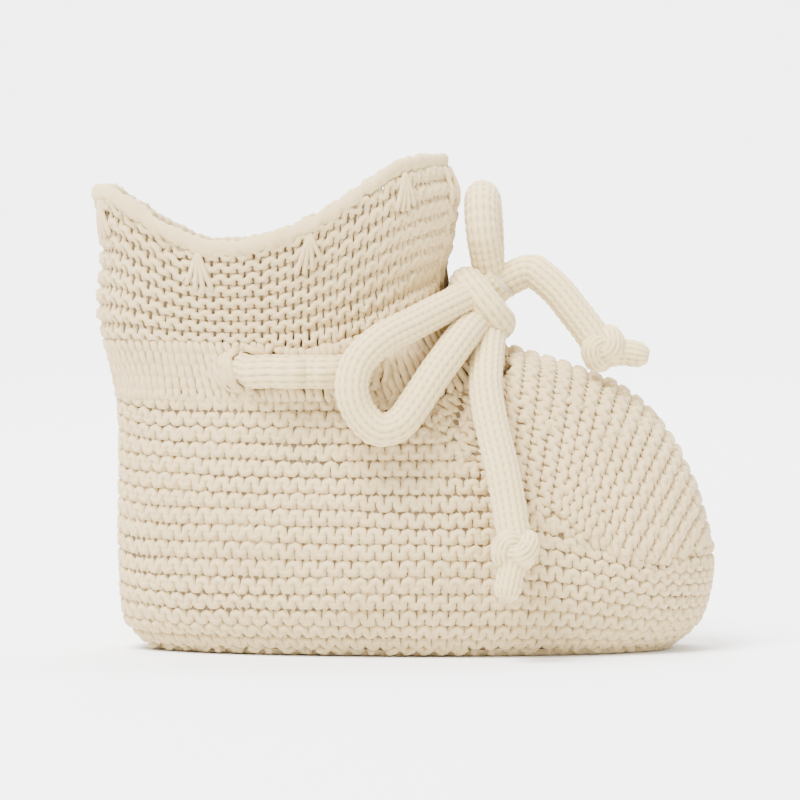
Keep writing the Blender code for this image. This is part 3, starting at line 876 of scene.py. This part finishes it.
for name, route, body, node_name in (("side_bow_loop", SIDE_LOOP, "side_loop", "bow_loop_side"),
                                     ("top_bow_loop", TOP_LOOP, "top_loop", "bow_loop_top")):
    path = smooth_line(in_metres(route), CORD_RING)
    piece = knitted_tube(name, path)
    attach(piece, body)
    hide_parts(node_name)


def overhand(centre, ahead, side):
    """The line of a stopper knot: a three-lobed loop round the cord's own way."""
    across = np.cross(ahead, side)
    return centre + KNOT_LOBE * ((np.sin(turns) + 2 * np.sin(2 * turns)) * side
                                 + (np.cos(turns) - 2 * np.cos(2 * turns)) * across
                                 - 1.5 * np.sin(3 * turns) * ahead)


def tip_radius(path, thin_from):
    """The cord's radius along a free end: thinner from its knot on, and rounded off at the very tip."""
    length = np.linspace(0, length_of(path), len(path))[:, None]
    radius = CORD / 2 * (1 - TIP_THIN * np.clip((length - thin_from) / THINNING, 0, 1))
    rounded = np.clip((length - length[-1]) / CORD * 2.4 + 1, 0, 1)
    return radius * np.sqrt(1 - 0.8 * rounded ** 2)


for name, route, turn, tip, body, node_name in (
        ("side_tie_end", SIDE_END, (-0.35, 0.05, -0.1), 0.0040, "side_end", "tie_end_side"),
        ("front_tie_end", FRONT_END, (0.75, 0.1, 0.55), 0.0030, "front_end", "tie_end_front")):
    points = in_metres(route)
    ahead = points[-1] - points[-2]
    ahead /= np.linalg.norm(ahead)
    centre = points[-1] + ahead * (END_KNOT + GAP)
    out = ahead + np.array(turn)
    out /= np.linalg.norm(out)
    end = centre + out * (END_KNOT + GAP + tip)
    path = smooth_line(points + [centre, centre + out * END_KNOT, end], CORD_RING)
    piece = knitted_tube(name, path, tip_radius(path, length_of(path) - tip - END_KNOT))
    side = np.cross(ahead, backwards)
    side /= np.linalg.norm(side)
    stopper = knot_strand(name + "_knot", overhand(centre, ahead, side), KNOT_STRAND)
    for each in (piece, stopper):
        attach(each, body)
    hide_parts(node_name, node_name + "_tip")
    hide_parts(node_name + "_knot")


# ======================================================================================
# Ankle band. A few rows of smooth knit with made eyelets, pulled open by the tie cord
# that goes in and out of them.
# ======================================================================================
BAND_ROWS = 5
BAND_DEPTH = 0.0004        # smooth knit is flatter than garter knit
BAND_SLANT = -1.1          # stitches that the drawn-in band leans over, from its foot to its top
LEG_STITCH = 0.00265
OPEN_STRETCH = -0.008      # the cord's open stretches on the sides lie behind this
SWELL = 0.0020             # how far the fabric beside an open stretch swells out
CLOSE_ABOVE = 0.0016       # and how far it closes over the cord from above
CLOSE_BELOW = 0.0008       # and from below
_, cuff_high = leg.edges(skin("cuff"))
middle_height = (band_low + band_high) / 2
leg_length, leg_even = leg.even(middle_height)
LEG_STITCHES = 2 * round(leg_length / LEG_STITCH / 2)
ankle_coarse = ankle_path[::3]


def spread_from_cord(points, clear):
    """Moves yarn that the tie cord would run into to the edge of its eyelet."""
    gap = points[:, None, :] - ankle_coarse[None, :, :]
    distance = np.linalg.norm(gap, axis=2)
    nearest = distance.argmin(axis=1)
    way = gap[np.arange(len(points)), nearest]
    size = distance[np.arange(len(points)), nearest]
    push = np.maximum(clear - size, 0)[:, None]
    way = way / np.maximum(size, 1e-6)[:, None]
    return points + way * push


def over_the_cord(points, normal):
    """Lets the fabric above and below the cord's open stretch swell out and close over it a little."""
    gap = points[:, None, :] - ankle_coarse[None, :, :]
    nearest = np.linalg.norm(gap, axis=2).argmin(axis=1)
    beside = gap[np.arange(len(points)), nearest]
    outside = np.clip(-(beside * normal).sum(1) / CORD * 2 - 0.2, 0, 1) * (points[:, 0] < OPEN_STRETCH)
    above = beside[:, 2]
    near = np.exp(-((np.abs(above) - 0.0030) / 0.0022) ** 2) * outside
    moved = points + normal * (SWELL * near)[:, None]
    moved[:, 2] -= np.sign(above) * np.where(above > 0, CLOSE_ABOVE, CLOSE_BELOW) * near
    return moved


def rows_between(skirt, low, high, even, stitches, number, styles, radius, depth, slant=0.0):
    """Rows of stitches from one edge of a section to the other; slant is in stitches."""
    rows = []
    for j in range(number):
        along, up, out = loop_shape(stitches, styles[j % len(styles)])
        size = 1 + jitter(stitches, 0.08)
        share = np.clip((j + 0.5 + up * size) / number, 0.02, 0.98)
        lean = slant * (share - 0.5) * (0.7 + 0.3 * np.sin(2 * math.pi * along / stitches * 9))
        around = even((along + lean + jitter(stitches, 0.04)) / stitches)
        level = top_at(around, low) * (1 - share) + top_at(around, high) * share
        level = level + wobble(around, level, 0.0002) * 4 * share * (1 - share)
        points, normal = skirt.read(around, level)
        points = points - normal * (radius + depth - depth * out * size)[:, None]
        rows.append(spread_from_cord(over_the_cord(points, normal), CORD / 2 + radius + 0.0001))
    return rows


band_points = rows_between(leg, band_low - 0.0009, band_high + 0.0003, leg_even, LEG_STITCHES, BAND_ROWS,
                           ("legs",), YARN, BAND_DEPTH, BAND_SLANT)
band = strand_mesh("ankle_band_knit", band_points, 6, YARN, yarn)
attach(band, "bootie")
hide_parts("ankle_band")


def in_an_eyelet(spot):
    """Whether the tie cord passes here, so that the band's middle is open."""
    return np.linalg.norm(ankle_coarse - np.array(spot), axis=1).min() < CORD / 2 + 0.0008


band_back = sheet_of("ankle_band_middle", leg, band_low - 0.0006, band_high, BACK_INSET, 10, gap_yarn_painted_shade,
                     in_an_eyelet)
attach(band_back, "bootie")


# ======================================================================================
# Cuff. Garter knit worked up from the band, of the same yarn as the foot, standing round
# the ankle with its front and back a little higher than its sides.
# ======================================================================================
CUFF_ROWS = 16
CUFF_YARN = 0.00054        # half the yarn's thickness; it is pulled thinner here
CUFF_INSET = 0.0013        # the fabric's middle lies this far under its outer face
cuff_points = rows_between(leg, band_high, cuff_high + 0.0014, leg_even, LEG_STITCHES, CUFF_ROWS,
                           ("heads", "feet"), CUFF_YARN, DEPTH)
cuff = strand_mesh("cuff_knit", cuff_points, 6, CUFF_YARN, yarn)
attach(cuff, "bootie")
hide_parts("cuff")
cuff_back = sheet_of("cuff_middle", leg, band_high, cuff_high, CUFF_INSET, 10, gap_yarn_painted_shade)
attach(cuff_back, "bootie")


# ======================================================================================
# Cast-off edge. The last row is bound off in one thick rolled chain, and long stitches
# drawn down from it gather the cuff into small fans.
# ======================================================================================
EDGE_TICK = 0.0046         # spacing of the small dents under the bound edge
EDGE_THICK = 0.00105       # half its thickness through the fabric
EDGE_TALL = 0.00140        # half its height
EDGE_RINGS = 720
EDGE_RING_MM = 0.35        # of yarn pattern between two rings
EDGE_SIDES = 16
_, edge_high = leg.edges(skin("cuff_edge"))
edge_middle = edge_high - EDGE_TALL


def bound_edge():
    """A rolled band right round the opening, with a dent between its chain links."""
    around = np.arange(EDGE_RINGS + 1) / EDGE_RINGS
    centre, out = leg.read(around, top_at(around, edge_middle))
    centre = centre - out * EDGE_THICK
    walked = walk_along(centre)
    links = round(walked[-1] / EDGE_TICK)
    phase = walked / walked[-1] * links
    turn = np.arange(EDGE_SIDES) * 2 * math.pi / EDGE_SIDES
    ring = np.zeros((EDGE_RINGS + 1, EDGE_SIDES, 3))
    for k in range(EDGE_SIDES):
        level, rise = math.cos(turn[k]), math.sin(turn[k])
        wave = phase + 0.12 * rise + 0.15 * np.sin(phase * 1.7)
        dent = np.exp(-((wave % 1.0 - 0.5) / 0.10) ** 2) * (0.00016 + 0.00034 * max(-rise, 0))
        strands = 0.00009 * np.cos(2 * math.pi * (phase * 3 + 0.35 * rise))
        slow = 0.00010 * np.sin(phase * 2.3 + 0.6) + strands
        thick = EDGE_THICK - dent + slow
        tall = EDGE_TALL - dent * 0.6 + slow
        ring[:, k] = centre + out * (thick * level)[:, None]
        ring[:, k, 2] += tall * rise
    return ring


def ring_mesh(name, ring, material):
    """A closed band from rings of points that come back to the first."""
    count, sides = ring.shape[0] - 1, ring.shape[1]
    bm = bmesh.new()
    uv = bm.loops.layers.uv.new("strand")
    verts = [[bm.verts.new(p) for p in row] for row in ring[:-1]]
    for i in range(count):
        for k in range(sides):
            a, b = (i + 1) % count, (k + 1) % sides
            face = bm.faces.new((verts[i][k], verts[a][k], verts[a][b], verts[i][b]))
            for loop, (u, v) in zip(face.loops, ((i, k), (i + 1, k), (i + 1, k + 1), (i, k + 1))):
                loop[uv].uv = (u * EDGE_RING_MM, v / sides)
    if bm.calc_volume(signed=True) < 0:
        bmesh.ops.reverse_faces(bm, faces=bm.faces[:])
    return piece_from(name, bm, material)


bound = ring_mesh("cast_off_edge", bound_edge(), yarn)
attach(bound, "bootie")
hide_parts("cuff_edge")

FAN_SPACING = 0.017        # along the edge
FAN_START = 0.30           # share of a spacing from the heel to the first fan
FAN_DROP = 0.0066          # how far down a fan reaches
FAN_SPREAD = 0.0021        # half its width at the foot
FAN_YARN = 0.00042         # half the thickness of its strands
FAN_LEANS = (-1.0, -0.35, 0.3, 0.95)


def fans():
    """The long stitches of every fan, from one point under the edge."""
    strands = []
    number = round(leg_length / FAN_SPACING)
    for k in range(number):
        share = (k + FAN_START) / number
        start = top_at(np.array([leg_even(np.array([share]))[0]]), edge_high)[0] - 2 * EDGE_TALL + 0.0004
        for lean in FAN_LEANS:
            t = np.linspace(0, 1, 9)
            around = leg_even(share + lean * FAN_SPREAD * t / leg_length)
            edge = top_at(around, edge_high)
            level = edge - (edge[0] - start) - FAN_DROP * t * (1 - 0.12 * abs(lean))
            points, normal = leg.read(around, level)
            strands.append(points + normal * (0.0002 * np.sin(math.pi * t) - FAN_YARN * 0.8)[:, None])
    return strands


fan_piece = strand_mesh("cuff_fans", fans(), 8, FAN_YARN, yarn)
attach(fan_piece, "bootie")


# ======================================================================================
# Seams. Inside the bootie the edges of the fabric are sewn together with the same yarn,
# over and over, which leaves a small twisted ridge.
# ======================================================================================
SEAM_TWIST = 0.0022        # length of one turn of the stitching
SEAM_YARN = 0.00040        # half the thickness of each of its two strands


def sewn_ridge(name, node_name, key, count, spread):
    """Two strands twisted along the middle of a CAD seam; key tells its points apart along it."""
    line = smooth_line(line_of(node_name, key, count, spread), 0.0004)
    along = np.gradient(line, axis=0)
    along /= np.linalg.norm(along, axis=1)[:, None]
    guide = np.array([0.0, 1.0, 0.0]) if abs(along[:, 1]).mean() < 0.5 else np.array([0.0, 0.0, 1.0])
    side = np.cross(along, guide)
    side /= np.linalg.norm(side, axis=1)[:, None]
    other = np.cross(along, side)
    length = np.linspace(0, length_of(line), len(line))
    strands = []
    for start in (0.0, math.pi):
        a = (2 * math.pi * length / SEAM_TWIST + start)[:, None]
        strands.append(line + SEAM_YARN * (np.cos(a) * side + np.sin(a) * other))
    piece = strand_mesh(name, strands, 6, SEAM_YARN, yarn)
    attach(piece, "bootie")
    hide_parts(node_name)


def upward(points):
    """Height."""
    return points[:, 2]


def forward(points):
    """Way ahead."""
    return points[:, 0]


def round_toe(points):
    """Angle round the top of the foot, from the toe."""
    return np.arctan2(points[:, 1], points[:, 0] - 0.004)


sewn_ridge("heel_stitching", "heel_seam", upward, 16, 0.002)
sewn_ridge("cuff_stitching", "cuff_seam", upward, 10, 0.002)
sewn_ridge("sole_stitching", "sole_seam", forward, 24, 0.003)
sewn_ridge("instep_stitching", "instep_seam", round_toe, 44, 0.05)


# ======================================================================================
# Floor and light. A sweep of pale matt paper, a large soft lamp from the upper left, a
# weak one from the right, one for the paper behind, and an even white surround.
# ======================================================================================
SURROUND = 1.05
SWEEP_FRONT = -2.5
SWEEP_BACK = 1.3           # where the paper starts to turn up
SWEEP_TURN = 0.4           # radius of the turn
SWEEP_HEIGHT = 2.4
SWEEP_HALF = 2.5
LAMPS = (("key", (-0.35, -0.45, 1.0), (0, 0, 0.04), 0.55, 50.0),
         ("fill", (0.7, -0.6, 0.4), (0, 0, 0.04), 0.8, 5.0),
         ("backdrop", (0.0, 0.7, 1.4), (0.0, 1.6, 0.2), 1.0, 75.0))


def paper_material():
    """Uncoated white paper: matt, with no pattern that shows."""
    made = bpy.data.materials.new("pale_paper")
    made.use_nodes = True
    made.node_tree.nodes["Principled BSDF"].inputs["Base Color"].default_value = linear("#FAFAFA")
    made.node_tree.nodes["Principled BSDF"].inputs["Roughness"].default_value = 0.9
    return made


def paper_sweep():
    """The floor, turned up behind in a quarter round, drawn as a line and pulled out sideways."""
    bm = bmesh.new()
    line = [bm.verts.new((-SWEEP_HALF, y, 0)) for y in (SWEEP_FRONT, SWEEP_BACK)]
    bm.edges.new(line)
    bmesh.ops.spin(bm, geom=[line[1]], cent=(-SWEEP_HALF, SWEEP_BACK, SWEEP_TURN), axis=(1, 0, 0),
                   angle=math.pi / 2, steps=12)
    end = max(bm.verts, key=lambda vert: vert.co.z)
    top = bm.verts.new((-SWEEP_HALF, SWEEP_BACK + SWEEP_TURN, SWEEP_HEIGHT))
    bm.edges.new((end, top))
    side = bmesh.ops.extrude_edge_only(bm, edges=bm.edges[:])["geom"]
    bmesh.ops.translate(bm, verts=[v for v in side if isinstance(v, bmesh.types.BMVert)],
                        vec=(2 * SWEEP_HALF, 0, 0))
    return piece_from("paper_sweep", bm, paper_material())


paper_sweep()
world = bpy.data.worlds.new("studio")
bpy.context.scene.world = world
world.use_nodes = True
world.node_tree.nodes["Background"].inputs["Color"].default_value = linear("#FFFFFF")
world.node_tree.nodes["Background"].inputs["Strength"].default_value = SURROUND
for name, place, aim, size, power in LAMPS:
    lamp = bpy.data.lights.new(name, "AREA")
    lamp.size = size
    lamp.energy = power
    holder = bpy.data.objects.new(name, lamp)
    bpy.context.scene.collection.objects.link(holder)
    holder.location = place
    holder.rotation_euler = (Vector(aim) - Vector(place)).to_track_quat("-Z", "Y").to_euler()
